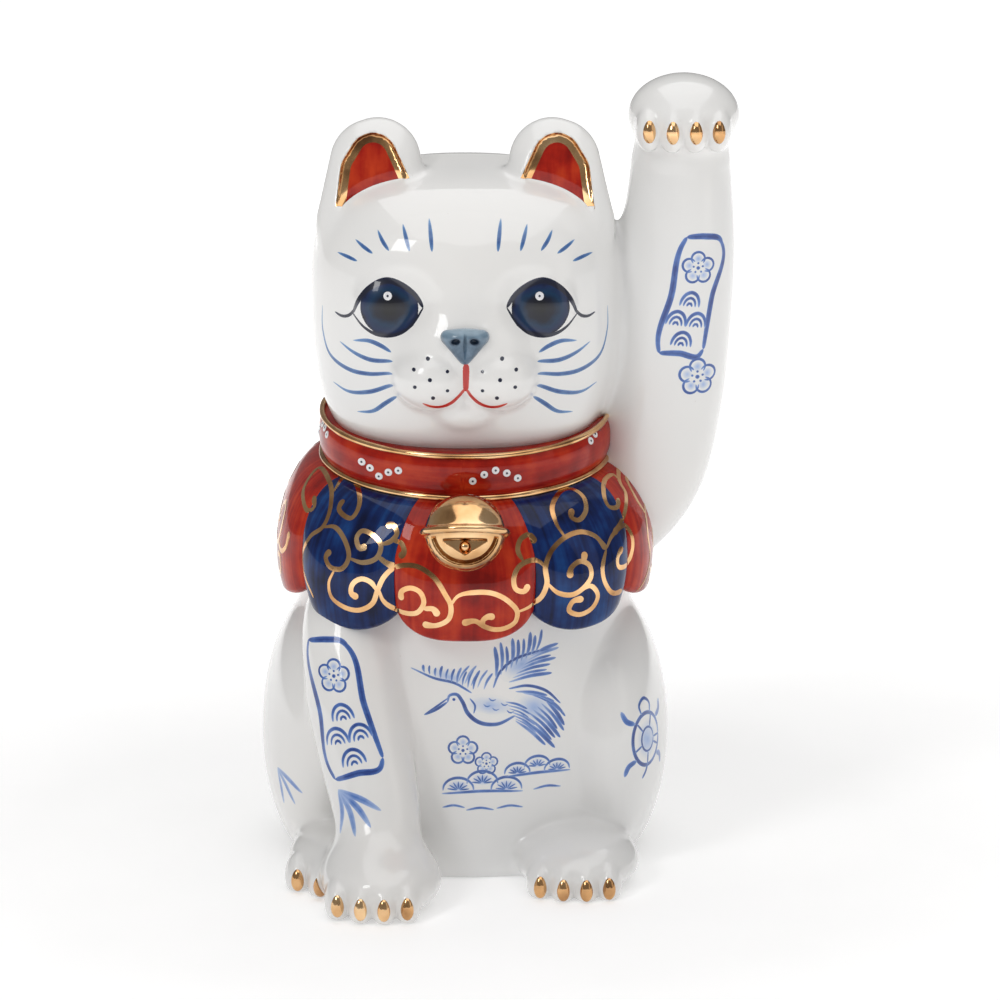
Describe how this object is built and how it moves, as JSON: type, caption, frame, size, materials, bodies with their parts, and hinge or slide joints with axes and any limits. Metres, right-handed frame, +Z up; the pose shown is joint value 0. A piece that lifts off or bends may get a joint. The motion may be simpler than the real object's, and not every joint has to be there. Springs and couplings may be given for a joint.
{
  "type": "beckoning cat figurine",
  "caption": "Seated porcelain cat figurine with one raised forepaw, painted bib and collar, gilt bell, a flat foot ring to stand on and a soft stopper in its base vent.",
  "frame": {"origin": "centre line of the figure in the plane it stands on", "axes": "+Z up, -Y the way the cat faces, +X the cat's left, the side of the raised arm"},
  "size_m": [0.144, 0.1498, 0.2399],
  "materials": {
    "porcelain": "gloss transparent glaze over white porcelain",
    "red_enamel": "gloss overglaze enamel, brushed",
    "blue_enamel": "gloss cobalt blue, brushed",
    "gold_lustre": "fired gold lustre, mirror bright",
    "nose_glaze": "gloss blue-grey underglaze",
    "bisque": "unglazed, matt",
    "stopper_rubber": "matt moulded rubber"
  },
  "bodies": {
    "figurine": {"torso": "porcelain", "head": "porcelain", "muzzle": "porcelain", "nose": "nose_glaze", "left_ear": "porcelain", "right_ear": "porcelain", "raised_arm": "porcelain", "raised_paw": "porcelain", "raised_paw_claws": "gold_lustre", "foreleg": "porcelain", "forepaw": "porcelain", "forepaw_claws": "gold_lustre", "left_hind_foot": "porcelain", "left_hind_claws": "gold_lustre", "right_hind_foot": "porcelain", "right_hind_claws": "gold_lustre", "tail": "porcelain", "collar_band": "red_enamel", "collar_upper_piping": "gold_lustre", "collar_lower_piping": "gold_lustre", "bib_red_gores": "red_enamel", "bib_blue_gores": "blue_enamel", "bell": "gold_lustre", "bell_pea": "gold_lustre", "base_plate": "bisque"},
    "stopper": {"vent_stopper": "stopper_rubber"}
  },
  "joints": [
    {"name": "stopper_slide", "type": "slide", "parent": "figurine", "child": "stopper", "axis": [0, 0, -1], "range_m": [0, 0.03]}
  ]
}
